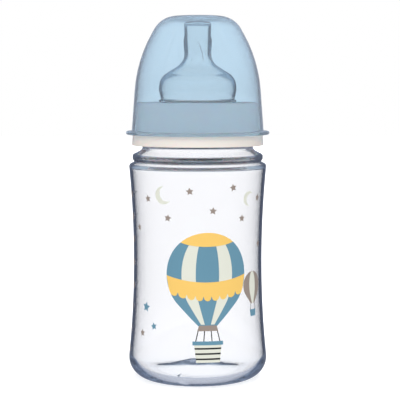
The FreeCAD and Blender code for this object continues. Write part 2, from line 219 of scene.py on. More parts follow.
def turning_tree():
    """Turns an outline, drawn as a row of points right of the axis, into a closed wall round the axis."""
    tree, given = new_tree("turn_outline", {"Segments": "Int", "Closed": "Int", "Material": "Material"})
    size = add_node(tree, "GeometryNodeAttributeDomainSize", {"Geometry": given["Geometry"]})
    count = size.outputs["Point Count"]
    rows = add_node(tree, "ShaderNodeMath", {0: count, 1: given["Closed"]}, operation="ADD")
    columns = add_node(tree, "ShaderNodeMath", {0: given["Segments"], 1: 1.0}, operation="ADD")
    grid = add_node(tree, "GeometryNodeMeshGrid", {"Vertices X": columns, "Vertices Y": rows})
    index = add_node(tree, "GeometryNodeInputIndex")
    share = add_node(tree, "ShaderNodeMath", {0: index, 1: rows}, operation="DIVIDE")
    column = add_node(tree, "ShaderNodeMath", {0: share}, operation="FLOOR")
    row = add_node(tree, "ShaderNodeMath", {0: index, 1: rows}, operation="MODULO")
    source = add_node(tree, "ShaderNodeMath", {0: row, 1: count}, operation="MODULO")
    place = add_node(
        tree,
        "GeometryNodeSampleIndex",
        {"Geometry": given["Geometry"], "Index": source},
        data_type="FLOAT_VECTOR",
        domain="POINT",
    )
    tree.links.new(add_node(tree, "GeometryNodeInputPosition").outputs[0], place.inputs["Value"])
    turn = add_node(tree, "ShaderNodeMath", {0: math.tau, 1: given["Segments"]}, operation="DIVIDE")
    angle = add_node(tree, "ShaderNodeMath", {0: column, 1: turn}, operation="MULTIPLY")
    turned = add_node(
        tree, "ShaderNodeVectorRotate", {"Vector": place, "Angle": angle}, rotation_type="Z_AXIS"
    )
    wall = add_node(tree, "GeometryNodeSetPosition", {"Geometry": grid, "Position": turned})
    joined = add_node(tree, "GeometryNodeMergeByDistance", {"Geometry": wall, "Distance": WELD})
    smooth = add_node(tree, "GeometryNodeSetShadeSmooth", {"Geometry": joined})
    return close_tree(tree, smooth, given["Material"])


def ridge_tree():
    """Raises ridges that wind up a turned wall, right-handed, where its radius lies between two limits."""
    sizes = ("Level", "Start", "Lead", "Turns", "Count", "Height", "Root", "Crest", "Taper", "Least", "Most")
    tree, given = new_tree("wind_ridges", {**{name: "Float" for name in sizes}, "Material": "Material"})
    position = add_node(tree, "GeometryNodeInputPosition")
    flat = add_node(tree, "ShaderNodeVectorMath", {0: position, 1: (1, 1, 0)}, operation="MULTIPLY")
    radius = add_node(tree, "ShaderNodeVectorMath", {0: flat}, operation="LENGTH").outputs["Value"]
    split = add_node(tree, "ShaderNodeSeparateXYZ", {0: position}).outputs
    bearing = add_node(tree, "ShaderNodeMath", {0: split["Y"], 1: split["X"]}, operation="ARCTAN2")
    past = add_node(tree, "ShaderNodeMath", {0: bearing, 1: given["Start"]}, operation="SUBTRACT")
    round_share = add_node(tree, "ShaderNodeMath", {0: past, 1: math.tau}, operation="DIVIDE")
    rise = add_node(tree, "ShaderNodeMath", {0: split["Z"], 1: given["Level"]}, operation="SUBTRACT")
    climbed = add_node(tree, "ShaderNodeMath", {0: rise, 1: given["Lead"]}, operation="DIVIDE")
    ahead = add_node(tree, "ShaderNodeMath", {0: climbed, 1: round_share}, operation="SUBTRACT")
    starts = add_node(tree, "ShaderNodeMath", {0: ahead, 1: given["Count"]}, operation="MULTIPLY")
    nearest = add_node(tree, "ShaderNodeMath", {0: starts}, operation="ROUND")
    astray = add_node(tree, "ShaderNodeMath", {0: starts, 1: nearest}, operation="SUBTRACT")
    off_turns = add_node(tree, "ShaderNodeMath", {0: astray, 1: given["Count"]}, operation="DIVIDE")
    off = add_node(tree, "ShaderNodeMath", {0: off_turns, 1: given["Lead"]}, operation="MULTIPLY")
    distance = add_node(tree, "ShaderNodeMath", {0: off}, operation="ABSOLUTE")
    run = add_node(tree, "ShaderNodeMath", {0: climbed, 1: off_turns}, operation="SUBTRACT")
    left = add_node(tree, "ShaderNodeMath", {0: given["Turns"], 1: run}, operation="SUBTRACT")
    half_root = add_node(tree, "ShaderNodeMath", {0: given["Root"], 1: 0.5}, operation="MULTIPLY")
    half_crest = add_node(tree, "ShaderNodeMath", {0: given["Crest"], 1: 0.5}, operation="MULTIPLY")
    flank = {"Value": distance, "From Min": half_root, "From Max": half_crest}
    profile = add_node(tree, "ShaderNodeMapRange", flank, interpolation_type="SMOOTHSTEP")
    fade_in = add_node(tree, "ShaderNodeMapRange", {"Value": run, "From Max": given["Taper"]})
    fade_out = add_node(tree, "ShaderNodeMapRange", {"Value": left, "From Max": given["Taper"]})
    above = add_node(tree, "ShaderNodeMath", {0: radius, 1: given["Least"]}, operation="GREATER_THAN")
    below = add_node(tree, "ShaderNodeMath", {0: radius, 1: given["Most"]}, operation="LESS_THAN")
    height = given["Height"]
    for part in (profile, fade_in, fade_out, above, below):
        height = add_node(tree, "ShaderNodeMath", {0: height, 1: part}, operation="MULTIPLY").outputs[0]
    outward = add_node(tree, "ShaderNodeVectorMath", {0: flat}, operation="NORMALIZE")
    offset = add_node(tree, "ShaderNodeVectorMath", {0: outward, "Scale": height}, operation="SCALE")
    raised = add_node(tree, "GeometryNodeSetPosition", {"Geometry": given["Geometry"], "Offset": offset})
    return close_tree(tree, raised, given["Material"])


def add_rule(piece, tree, sizes):
    """Give a piece a geometry tree as a modifier, with its sizes set by their sockets' identifiers."""
    rule = piece.modifiers.new(tree.name, "NODES")
    rule.node_group = tree
    for socket in tree.interface.items_tree:
        if socket.in_out == "INPUT" and socket.name in sizes:
            rule[socket.identifier] = sizes[socket.name]


def settle(piece):
    """Turn a piece's modifiers into a plain mesh with its true edges sharp."""
    shaped = piece.evaluated_get(bpy.context.evaluated_depsgraph_get())
    mesh = bpy.data.meshes.new_from_object(shaped)
    mesh.name = piece.name
    piece.modifiers.clear()
    piece.data = mesh
    mesh.set_sharp_from_angle(angle=SHARP_ANGLE)
    return piece


def new_piece(name, points, edges=(), faces=()):
    """An object in the scene with a mesh of these points."""
    mesh = bpy.data.meshes.new(name)
    mesh.from_pydata(points, edges, faces)
    piece = bpy.data.objects.new(name, mesh)
    bpy.context.scene.collection.objects.link(piece)
    return piece


turn_outline = turning_tree()
wind_ridges = ridge_tree()
SEGMENTS = 180


def turned_piece(name, corners, closed, material, ridges=None):
    """A piece turned from its outline, with winding ridges where it has them."""
    outline = rounded_outline(corners + corners[:1] if closed else corners)
    if closed:
        outline.pop()
    points = [(p.x, 0.0, p.y) for p in outline]
    piece = new_piece(name, points, [(i, i + 1) for i in range(len(points) - 1)])
    add_rule(piece, turn_outline, {"Segments": SEGMENTS, "Closed": int(closed), "Material": material})
    if ridges:
        add_rule(piece, wind_ridges, {**ridges, "Material": material})
    return settle(piece)


def srgb(code):
    """An sRGB hex colour as the linear colour that a shader takes."""
    levels = [int(code[i : i + 2], 16) / 255 for i in (1, 3, 5)]
    return [v / 12.92 if v <= 0.04045 else ((v + 0.055) / 1.055) ** 2.4 for v in levels] + [1.0]


def new_material(name, colour, **sockets):
    """A material whose shader has this colour and these constant sockets, with underscores for spaces."""
    material = bpy.data.materials.new(name)
    material.use_nodes = True
    shader = material.node_tree.nodes["Principled BSDF"]
    shader.inputs["Base Color"].default_value = srgb(colour)
    for label, setting in sockets.items():
        shader.inputs[label.replace("_", " ")].default_value = setting
    return material, material.node_tree, shader


def add_relief(tree, shader, size, depth, least, most):
    """Slow unevenness of a moulded face: a relief of a size and depth, and a roughness between limits."""
    place = add_node(tree, "ShaderNodeTexCoord").outputs["Object"]
    cloud = add_node(tree, "ShaderNodeTexNoise", {"Vector": place, "Scale": 1 / size, "Detail": 2.0})
    swell = add_node(tree, "ShaderNodeBump", {"Height": cloud, "Distance": depth, "Strength": 1.0})
    tree.links.new(swell.outputs[0], shader.inputs["Normal"])
    gloss = add_node(tree, "ShaderNodeMapRange", {"Value": cloud, "To Min": least, "To Max": most})
    tree.links.new(gloss.outputs[0], shader.inputs["Roughness"])


# Clear copolyester, blown against a polished mould: glassy, with a blue-grey cast where the eye looks
# along the wall.
clear_plastic, tree, shader = new_material(
    "clear_copolyester_blow_moulded", "#FEFEFF", IOR=1.5, Transmission_Weight=0.995
)
add_relief(tree, shader, size=14 * MM, depth=0.004 * MM, least=0.0, most=0.02)
tint = add_node(tree, "ShaderNodeVolumeAbsorption", {"Color": srgb("#AEBBD6"), "Density": 16.0})
tree.links.new(tint.outputs[0], tree.nodes["Material Output"].inputs["Volume"])

foot_steps = 6
inner_shoulder = shoulder_level - body_wall
outside_outline = [
    Corner(0.0, dish_depth),
    Corner(dish_flat, dish_depth, dish_round),
    Corner(dish_radius, 0.0, step=foot_width / foot_steps),
    Corner(side_radius(0.0), 0.0, heel_round, sweep_centre),
    Corner(side_radius(shoulder_level), shoulder_level, shoulder_round),
    Corner(groove_radius, groove_level, groove_round),
    Corner(bead_radius, bead_level, bead_round),
    Corner(bead_radius, bead_top, bead_round),
    Corner(neck_radius, neck_level, slope_round, step=RIDGE_STEP),
    Corner(neck_radius, rim_level, rim_round),
]
inside_outline = [
    Corner(neck_bore, rim_level, rim_round),
    Corner(neck_bore, neck_level - body_wall, slope_round),
    Corner(groove_radius - body_wall, groove_level, slope_round),
    Corner(side_radius(inner_shoulder, body_wall), inner_shoulder, shoulder_round, sweep_centre),
    Corner(side_radius(floor_thickness, body_wall), floor_thickness, heel_round - body_wall),
    Corner(dish_radius, floor_thickness, dish_round),
    Corner(dish_flat, floor_thickness + dish_depth, dish_round),
    Corner(0.0, floor_thickness + dish_depth),
]
thread_lead = 6.0 * MM
thread_turns = 1.25
thread_depth = 1.1 * MM
thread_drop = 1.8 * MM
wall_band = 0.1 * MM
neck_thread_level = rim_level - thread_drop - thread_lead * thread_turns
THREAD = {
    "Lead": thread_lead,
    "Turns": thread_turns,
    "Count": 1.0,
    "Root": 2.2 * MM,
    "Crest": 1.0 * MM,
    "Taper": 0.02,
}
neck_thread = {
    **THREAD,
    "Level": neck_thread_level,
    "Height": thread_depth,
    "Least": neck_radius - wall_band,
    "Most": neck_radius + wall_band,
}
body_outline = outside_outline + inside_outline
bottle = turned_piece("clear_bottle", body_outline, False, clear_plastic, neck_thread)

# The index notch, by which a printing machine finds the front: a shallow wedge across the foot's ring.
notch_bearing = math.radians(-108.5)
notch_depth = 0.9 * MM
notch_wide = 7.0 * MM
notch_narrow = 2.0 * MM
notch_ramp = 1.4 * MM
notch_start = dish_radius - foot_width
notch_length = 3 * foot_width
for vertex in bottle.data.vertices:
    along = vertex.co.x * math.cos(notch_bearing) + vertex.co.y * math.sin(notch_bearing)
    across = vertex.co.y * math.cos(notch_bearing) - vertex.co.x * math.sin(notch_bearing)
    share = (along - notch_start) / notch_length
    half = (notch_wide + (notch_narrow - notch_wide) * share) / 2
    sunk = min(1.0, max(0.0, (half - abs(across)) / notch_ramp + 0.5))
    if 0 <= share <= 1:
        vertex.co.z = max(vertex.co.z, notch_depth * sunk)
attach(bottle, "bottle")
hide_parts("bottle_body")


# Printed picture
# Screen-printed on the outside of the bottle in five opaque inks, one film for each: a hot-air balloon
# with a smaller one beside it, stars and moons round them, and a scale in millilitres on the left side.
INK_STEP = 0.5 * MM
FILL_STEP = 1.5 * MM
FILM = 0.012 * MM
films = {"teal": [], "yellow": [], "warm_grey": [], "ivory": [], "black": []}


def wrap_tree():
    """Lays a flat film, drawn with its thickness along Y, on the bottle's hollow side."""
    sizes = ("Waist radius", "Waist level", "Sweep")
    tree, given = new_tree("wrap_on_side", {**{name: "Float" for name in sizes}, "Material": "Material"})
    split = add_node(tree, "ShaderNodeSeparateXYZ", {0: add_node(tree, "GeometryNodeInputPosition")}).outputs
    bearing = add_node(tree, "ShaderNodeMath", {0: split["X"], 1: given["Waist radius"]}, operation="DIVIDE")
    rise = add_node(tree, "ShaderNodeMath", {0: split["Z"], 1: given["Waist level"]}, operation="SUBTRACT")
    rise_square = add_node(tree, "ShaderNodeMath", {0: rise, 1: 2.0}, operation="POWER")
    sweep_square = add_node(tree, "ShaderNodeMath", {0: given["Sweep"], 1: 2.0}, operation="POWER")
    chord = add_node(tree, "ShaderNodeMath", {0: sweep_square, 1: rise_square}, operation="SUBTRACT")
    spoke = add_node(tree, "ShaderNodeMath", {0: chord}, operation="SQRT")
    bulge = add_node(tree, "ShaderNodeMath", {0: given["Sweep"], 1: spoke}, operation="SUBTRACT")
    side = add_node(tree, "ShaderNodeMath", {0: given["Waist radius"], 1: bulge}, operation="ADD")
    lifted = add_node(tree, "ShaderNodeMath", {0: side, 1: split["Y"]}, operation="ADD")
    sine = add_node(tree, "ShaderNodeMath", {0: bearing}, operation="SINE")
    cosine = add_node(tree, "ShaderNodeMath", {0: bearing}, operation="COSINE")
    right = add_node(tree, "ShaderNodeMath", {0: lifted, 1: sine}, operation="MULTIPLY")
    near = add_node(tree, "ShaderNodeMath", {0: lifted, 1: cosine}, operation="MULTIPLY")
    back = add_node(tree, "ShaderNodeMath", {0: near, 1: -1.0}, operation="MULTIPLY")
    place = add_node(tree, "ShaderNodeCombineXYZ", {"X": right, "Y": back, "Z": split["Z"]})
    laid = add_node(tree, "GeometryNodeSetPosition", {"Geometry": given["Geometry"], "Position": place})
    return close_tree(tree, laid, given["Material"])


def fill(loops):
    """Flat points and triangles that fill closed loops, with holes left open."""
    points = []
    edges = []
    for loop in loops:
        first = len(points)
        points += loop
        edges += [(first + i, first + (i + 1) % len(loop)) for i in range(len(loop))]
    border = list(points)
    low = Vector((min(p.x for p in border), min(p.y for p in border)))
    high = Vector((max(p.x for p in border), max(p.y for p in border)))
    for row in range(1, math.ceil((high.y - low.y) / FILL_STEP)):
        for column in range(math.ceil((high.x - low.x) / FILL_STEP)):
            spot = low + Vector((column + row % 2 / 2, row)) * FILL_STEP
            if all((spot - p).length > FILL_STEP / 2 for p in border):
                points.append(spot)
    inside_with_holes = 2
    same_spot = 0.0001 * MM
    found, _, faces, *_ = delaunay_2d_cdt(points, edges, [], inside_with_holes, same_spot)
    used = sorted({i for face in faces for i in face})
    order = {old: new for new, old in enumerate(used)}
    return [found[i] for i in used], [[order[i] for i in face] for face in faces]


def add_film(ink, layer, *loops):
    """Add a closed film of an ink that fills flat loops: x round the side from the front, y the level."""
    spots, faces = fill(loops)
    count = len(spots)
    low, high = (2 * layer + 1) * FILM, (2 * layer + 2) * FILM
    points = [(p.x, high, p.y) for p in spots] + [(p.x, low, p.y) for p in spots]
    rims = {(face[i - 1], face[i]) for face in faces for i in range(3)}
    walls = [(b, a, a + count, b + count) for a, b in rims if (b, a) not in rims]
    backs = [[i + count for i in reversed(face)] for face in faces]
    films[ink].append((points, [*faces, *backs, *walls]))


def dense(corners, step=INK_STEP):
    """A closed loop through corners in millimetres, with points no further apart than a step."""
    loop = []
    spots = [Vector(c) * MM for c in corners]
    for a, b in zip(spots, spots[1:] + spots[:1]):
        count = max(1, math.ceil((b - a).length / step))
        loop += [a.lerp(b, i / count) for i in range(count)]
    return loop


def around(middle, radius, angle):
    """A place in millimetres at a radius from a middle, its angle in degrees from the right, upwards."""
    turn = math.radians(angle)
    return (middle[0] + radius * math.cos(turn), middle[1] + radius * math.sin(turn))


def circle_arc(middle, radius, start, stop, count):
    """Points on an arc in millimetres, from one angle in degrees to another."""
    return [around(middle, radius, start + (stop - start) * i / count) for i in range(count + 1)]


def add_star(ink, middle, radius, turn):
    """A five-pointed star, turned by an angle in degrees, with every second corner drawn in."""
    corner_count = 10
    drawn_in = 0.48
    corners = []
    for i in range(corner_count):
        reach = radius * (drawn_in if i % 2 else 1)
        corners.append(around(middle, reach, 90 + turn + 360 / corner_count * i))
    add_film(ink, 0, dense(corners))


def add_moon(ink, middle, radius, turn):
    """A crescent moon, open towards an angle in degrees."""
    bite = radius * 0.86
    shift = radius * 0.45
    half = math.degrees(math.acos((radius**2 + shift**2 - bite**2) / (2 * radius * shift)))
    inner = math.degrees(math.acos((bite**2 + shift**2 - radius**2) / (2 * bite * shift)))
    hollow = around(middle, shift, turn)
    outside = circle_arc(middle, radius, turn + half, turn + 360 - half, count=40)
    inside = circle_arc(hollow, bite, turn + 180 + inner, turn + 180 - inner, count=30)
    add_film(ink, 0, dense(outside + inside[1:-1]))


class Balloon:
    """A hot-air balloon's outline: a round top that narrows in straight lines to its mouth."""

    def __init__(self, across, level, radius, mouth, drop):
        self.across, self.level, self.radius = across, level, radius
        self.mouth, self.foot, self.top = mouth, level - drop, level + radius
        reach = math.hypot(mouth, drop)
        fall = math.asin(radius / reach) - math.atan2(mouth, drop)
        self.tangent = (radius * math.cos(fall), level - radius * math.sin(fall))

    def half_width(self, up):
        """Half the balloon's width at a level."""
        if up >= self.tangent[1]:
            return math.sqrt(max(0.0, self.radius**2 - (up - self.level) ** 2))
        share = (up - self.foot) / (self.tangent[1] - self.foot)
        return self.mouth + (self.tangent[0] - self.mouth) * share

    def column(self, share, bottom, top, count=40):
        """Points up a seam, at a share of the width."""
        ups = [bottom + (top - bottom) * i / count for i in range(count + 1)]
        return [(self.across + share * self.half_width(up), up) for up in ups]

    def row(self, up, sag, count=40):
        """Points from left to right along a level line that sags in the middle, as on a round side."""
        shares = [2 * i / count - 1 for i in range(count + 1)]
        ups = [up - sag * (1 - share**2) for share in shares]
        return [(self.across + share * self.half_width(u), u) for share, u in zip(shares, ups)]


def add_strip(ink, layer, start, stop, width):
    """A straight line of ink between two places in millimetres."""
    a, b = Vector(start), Vector(stop)
    side = (b - a).orthogonal().normalized() * width / 2
    add_film(ink, layer, dense([a + side, a - side, b - side, b + side]))


def trapezium(across, low, low_half, high, high_half):
    """Corners in millimetres of a shape with two level edges, from its lower left round to its upper left."""
    right = [(across + low_half, low), (across + high_half, high)]
    return [(across - low_half, low), *right, (across - high_half, high)]


# The large balloon: a teal envelope with ivory gores, a scalloped yellow band and a yellow crown, and a
# striped ivory basket with a teal rim, which hangs by black ropes from a warm grey skirt.
large = Balloon(across=4.6, level=53.5, radius=19.5, mouth=4.0, drop=24.0)
right_side = large.column(1, large.foot, large.top, count=90)
left_side = large.column(-1, large.foot, large.top, count=90)
add_film("teal", 0, dense(right_side + left_side[-2::-1]))
gore_inside, gore_outside = 0.28, 0.62
gore_foot, gore_top = large.foot + 1, large.top - 0.5
for hand in (1, -1):
    inside = large.column(hand * gore_inside, gore_foot, gore_top)
    outside = large.column(hand * gore_outside, gore_foot, gore_top)
    add_film("ivory", 1, dense((outside + inside[::-1])[::hand]))
crown = large.row(up=68.5, sag=2.0)
over = circle_arc((large.across, large.level), large.radius, start=20, stop=160, count=80)
over = [p for p in over if p[1] > crown[0][1]]
add_film("yellow", 2, dense(crown + over))
band_top = large.row(up=53.0, sag=3.0, count=72)
band_low = large.row(up=46.5, sag=3.0, count=72)
scallop_count, scallop_drop = 9, 2.2
scallops = []
for i, (along, up) in enumerate(band_low):
    phase = i / (len(band_low) - 1) * scallop_count % 1
    hem = up - scallop_drop * math.sqrt(max(0.0, 1 - (2 * phase - 1) ** 2))
    reach = large.half_width(hem)
    scallops.append((max(min(along, large.across + reach), large.across - reach), hem))
add_film("yellow", 2, dense(scallops + band_top[::-1]))
skirt_low, skirt_low_half = large.foot - 2.0, 4.8
skirt_top, skirt_top_half = large.foot + 0.6, large.mouth
skirt = trapezium(large.across, skirt_low, skirt_low_half, skirt_top, skirt_top_half)
add_film("warm_grey", 1, dense(skirt))
rope_foot, rope_width = 22.0, 0.45
for top, low in ((-4.4, -5.6), (-1.5, -1.9), (1.5, 1.9), (4.4, 5.6)):
    add_strip("black", 0, (large.across + top, skirt_low), (large.across + low, rope_foot), rope_width)
basket_low, basket_low_half = 13.0, 5.2
basket_top, basket_top_half = 21.6, 6.2
basket = trapezium(large.across, basket_low, basket_low_half, basket_top, basket_top_half)
add_film("ivory", 0, dense(basket))
stripe_width = 0.75
for up in (14.6, 17.0, 19.4):
    share = (up - basket_low) / (basket_top - basket_low)
    half = basket_low_half + (basket_top_half - basket_low_half) * share
    add_strip("black", 1, (large.across - half, up), (large.across + half, up), stripe_width)
rim_low, rim_top, rim_half = 21.0, 22.8, 6.9
add_film("teal", 1, dense(trapezium(large.across, rim_low, rim_half, rim_top, rim_half)))

# The small balloon: a warm grey envelope with one ivory gore, and a teal basket on two black ropes.
small = Balloon(across=30.0, level=47.0, radius=6.6, mouth=1.6, drop=8.6)
right_side = small.column(1, small.foot, small.top, count=50)
left_side = small.column(-1, small.foot, small.top, count=50)
add_film("warm_grey", 0, dense(right_side + left_side[-2::-1]))
gore_half, gore_top = 0.36, small.top - 0.2
right_seam = small.column(gore_half, small.foot, gore_top)
left_seam = small.column(-gore_half, small.foot, gore_top)
add_film("ivory", 1, dense(right_seam + left_seam[::-1]))
rope_drop, rope_width = 3.0, 0.35
for hand in (1, -1):
    start = (small.across + 1.5 * hand, small.foot)
    stop = (small.across + 1.9 * hand, small.foot - rope_drop)
    add_strip("black", 0, start, stop, rope_width)
basket_low, basket_low_half = small.foot - 6.0, 2.0
basket_top, basket_top_half = small.foot - 2.8, 2.4
basket = trapezium(small.across, basket_low, basket_low_half, basket_top, basket_top_half)
add_film("teal", 0, dense(basket))

# Stars and moons above and beside the balloons, and three stars low on the left.
star_radius = 1.9
for along, up, turn in (
    (-25.0, 88.0, 8),
    (-14.0, 79.5, -10),
    (-3.5, 92.0, 5),
    (7.0, 83.0, -6),
    (16.5, 93.5, 12),
    (22.0, 79.0, 0),
    (33.0, 88.0, -8),
    (-33.0, 74.0, 10),
    (36.0, 66.0, 4),
):
    add_star("warm_grey", (along, up), star_radius, turn)
add_moon("ivory", (-16.0, 90.0), radius=4.2, turn=25)
add_moon("ivory", (26.0, 88.0), radius=3.4, turn=-20)
add_star("teal", (-27.0, 37.0), radius=2.6, turn=-8)
add_star("teal", (-21.5, 28.5), star_radius, turn=14)
add_star("warm_grey", (-29.0, 24.5), star_radius, turn=6)

# The scale: a line for every ten millilitres of the hollow inside, and a plain number at every thirty.
MILLILITRE = 1e-6
first_mark, last_mark, mark_step, number_step = 30, 240, 10, 30
long_mark, short_mark, mark_width = 6.0, 3.5, 0.4
scale_across = -48.8
number_size = 4.6 * MM
number_gap, number_drop = 1.2, 1.6
curve_steps = 4
cavity = rounded_outline(inside_outline)[::-1]


def level_of(volume):
    """The level in millimetres to which a volume in millilitres fills the bottle."""
    wanted = volume * MILLILITRE
    filled = 0.0
    for low, high in zip(cavity, cavity[1:]):
        area = (low.x**2 + low.x * high.x + high.x**2) * math.pi / 3
        held = area * (high.y - low.y)
        if filled + held >= wanted:
            return (low.y + (wanted - filled) / area) / MM
        filled += held
    return rim_level / MM


for volume in range(first_mark, last_mark + 1, mark_step):
    numbered = volume % number_step == 0
    length = long_mark if numbered else short_mark
    up = level_of(volume)
    add_strip("warm_grey", 0, (scale_across - length, up), (scale_across, up), mark_width)
    if not numbered:
        continue
    words = bpy.data.curves.new("scale_number", "FONT")
    words.body = str(volume)
    words.size = number_size
    words.fill_mode = "NONE"
    words.resolution_u = curve_steps
    number = bpy.data.objects.new("scale_number", words)
    bpy.context.scene.collection.objects.link(number)
    shaped = number.evaluated_get(bpy.context.evaluated_depsgraph_get())
    outline = bpy.data.meshes.new_from_object(shaped)
    corner = Vector((scale_across + number_gap, up - number_drop)) * MM
    following = {edge.vertices[0]: edge.vertices[1] for edge in outline.edges}
    loops = []
    while following:
        spot = next(iter(following))
        loop = []
        while spot in following:
            loop.append(Vector(outline.vertices[spot].co.xy) + corner)
            spot = following.pop(spot)
        loops.append(loop)
    add_film("warm_grey", 0, *loops)
    bpy.data.objects.remove(number)

# Opaque screen-printing inks, cured matt on the plastic, with a fine unevenness from the mesh of the screen.
wrap_on_side = wrap_tree()
INKS = {
    "teal": "#6492A8",
    "yellow": "#F5C96B",
    "warm_grey": "#988B82",
    "ivory": "#DFE1D4",
    "black": "#1E1D20",
}
for ink, colour in INKS.items():
    paint, tree, shader = new_material(f"{ink}_ink_screen_printed", colour, IOR=1.45)
    add_relief(tree, shader, size=0.5 * MM, depth=0.004 * MM, least=0.42, most=0.6)
    points, faces = [], []
    for film_points, film_faces in films[ink]:
        faces += [[i + len(points) for i in face] for face in film_faces]
        points += film_points
    film = new_piece(f"{ink}_print", points, (), faces)
    add_rule(
        film,
        wrap_on_side,
        {"Waist radius": waist_radius, "Waist level": waist_level, "Sweep": waist_sweep, "Material": paint},
    )
    settle(film)
    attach(film, "bottle")


# Teat
# Moulded from clear silicone rubber: a flange that the screw ring clamps on the rim, a lip over the
# ring's plate, a bulb, and a nipple with four slanting ribs that keep it from folding. The feed hole is
# in the tip.
teat_wall = 1.2 * MM
teat_root = 17.45 * MM
flange_inset = 0.4 * MM
flange_thickness = 2.0 * MM
ring_plate = 1.9 * MM
lip_reach = 0.95 * MM
lip_height = 1.1 * MM
lip_round = 0.4 * MM
bulb_reach = 1.1 * MM
bulb_rise = 4.8 * MM
bulb_round = 3.0 * MM
shoulder_reach = 0.6 * MM
shoulder_rise = 5.95 * MM
bulb_shoulder_round = 7.4 * MM
flare_rise = 7.5 * MM
flare_round = 9.0 * MM
nipple_radius = 5.8 * MM
nipple_length = 19.4 * MM
tip_reach = 0.7 * MM
tip_round = 1.3 * MM
feed_hole = 0.4 * MM
flange_radius = neck_radius - flange_inset
plate_under = rim_level + flange_thickness
plate_top = plate_under + ring_plate
lip_top = plate_top + lip_height
bulb_radius = teat_root + bulb_reach
bulb_level = lip_top + bulb_rise
bulb_shoulder = bulb_radius - shoulder_reach
bulb_shoulder_level = bulb_level + shoulder_rise
nipple_level = bulb_shoulder_level + flare_rise
tip_radius = nipple_radius + tip_reach
tip_level = nipple_level + nipple_length
teat_outline = [
    Corner(teat_root - teat_wall, rim_level),
    Corner(flange_radius, rim_level),
    Corner(flange_radius, plate_under),
    Corner(teat_root, plate_under),
    Corner(teat_root, plate_top),
    Corner(teat_root + lip_reach, plate_top),
    Corner(teat_root + lip_reach, lip_top, lip_round),
    Corner(teat_root, lip_top + lip_round),
    Corner(bulb_radius, bulb_level, bulb_round),
    Corner(bulb_shoulder, bulb_shoulder_level, bulb_shoulder_round),
    Corner(nipple_radius, nipple_level, flare_round, step=RIDGE_STEP),
    Corner(tip_radius, tip_level, tip_round),
    Corner(feed_hole, tip_level),
    Corner(feed_hole, tip_level - teat_wall),
    Corner(tip_radius - teat_wall, tip_level - teat_wall, tip_round),
    Corner(nipple_radius - teat_wall, nipple_level - teat_wall / 2, flare_round),
    Corner(bulb_shoulder - teat_wall, bulb_shoulder_level - teat_wall, bulb_shoulder_round - teat_wall),
    Corner(bulb_radius - teat_wall, bulb_level, bulb_round),
    Corner(teat_root - teat_wall, lip_top),
]
rib_count = 4.0
rib_radius = 0.9 * MM
rib_stand = 0.6 * MM
rib_root = 1.9 * MM
rib_crest = 0.3 * MM
rib_height = 9.4 * MM
rib_lead = 112.0 * MM
rib_slope = math.atan2(rib_lead, math.tau * nipple_radius)
rib_bearing = math.radians(-117)
inner_band = 0.3 * MM
outer_band = 0.5 * MM
nipple_ribs = {
    "Level": nipple_level + rib_radius,
    "Start": rib_bearing,
    "Lead": rib_lead,
    "Turns": rib_height / rib_lead,
    "Count": rib_count,
    "Height": rib_stand,
    "Root": rib_root / math.cos(rib_slope),
    "Crest": rib_crest / math.cos(rib_slope),
    "Taper": rib_radius / rib_lead,
    "Least": nipple_radius - inner_band,
    "Most": tip_radius + outer_band,
}

# Liquid silicone rubber, cured in a polished mould: water-clear in the wall, with a soft skin and no colour.
silicone, tree, shader = new_material("clear_silicone_moulded", "#FDFEFE", IOR=1.41, Transmission_Weight=1.0)
add_relief(tree, shader, size=6 * MM, depth=0.004 * MM, least=0.0, most=0.03)
tint = add_node(tree, "ShaderNodeVolumeAbsorption", {"Color": srgb("#B9C0C6"), "Density": 14.0})
tree.links.new(tint.outputs[0], tree.nodes["Material Output"].inputs["Volume"])
teat = turned_piece("silicone_teat", teat_outline, True, silicone, nipple_ribs)
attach(teat, "teat")
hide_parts("teat")


# Screw ring
# Injection-moulded in cream polypropylene: a plate that clamps the teat's flange on the rim, a threaded
# collar that goes up inside the cap, and a wider skirt below the ledge that the cap stands on.
ring_wall = 1.3 * MM
thread_clearance = 0.3 * MM
ring_thread_drop = 1.8 * MM
teat_clearance = 0.3 * MM
collar_height = 15.15 * MM
collar_round = 0.6 * MM
skirt_reach = 2.0 * MM
skirt_height = 5.1 * MM
skirt_draft = 0.37 * MM
skirt_round = 0.4 * MM
ring_bore = neck_radius + thread_depth + thread_clearance
collar_radius = ring_bore + ring_wall
ledge_level = plate_top - collar_height
ring_foot = ledge_level - skirt_height
skirt_radius = collar_radius + skirt_reach
skirt_bore = skirt_radius - ring_wall
plate_hole = teat_root + teat_clearance
ring_outline = [
    Corner(plate_hole, plate_under),
    Corner(ring_bore, plate_under, step=RIDGE_STEP),
    Corner(ring_bore, ledge_level - ring_wall),
    Corner(skirt_bore, ledge_level - ring_wall),
    Corner(skirt_bore, ring_foot),
    Corner(skirt_radius + skirt_draft, ring_foot, skirt_round),
    Corner(skirt_radius, ledge_level, skirt_round),
    Corner(collar_radius, ledge_level),
    Corner(collar_radius, plate_top, collar_round),
    Corner(plate_hole, plate_top, skirt_round),
]
ring_thread = {
    **THREAD,
    "Level": neck_thread_level - ring_thread_drop,
    "Height": -thread_depth,
    "Least": ring_bore - wall_band,
    "Most": ring_bore + wall_band,
}

# Polypropylene with a cream masterbatch: satin from the mould, with light carried a little way under
# the skin.
cream_plastic, tree, shader = new_material(
    "cream_polypropylene_moulded",
    "#E9E1D8",
    IOR=1.49,
    Specular_IOR_Level=0.3,
    Subsurface_Weight=0.2,
    Subsurface_Scale=1 * MM,
)
add_relief(tree, shader, size=1.2 * MM, depth=0.006 * MM, least=0.3, most=0.42)
ring = turned_piece("cream_screw_ring", ring_outline, True, cream_plastic, ring_thread)
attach(ring, "ring")
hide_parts("screw_ring")


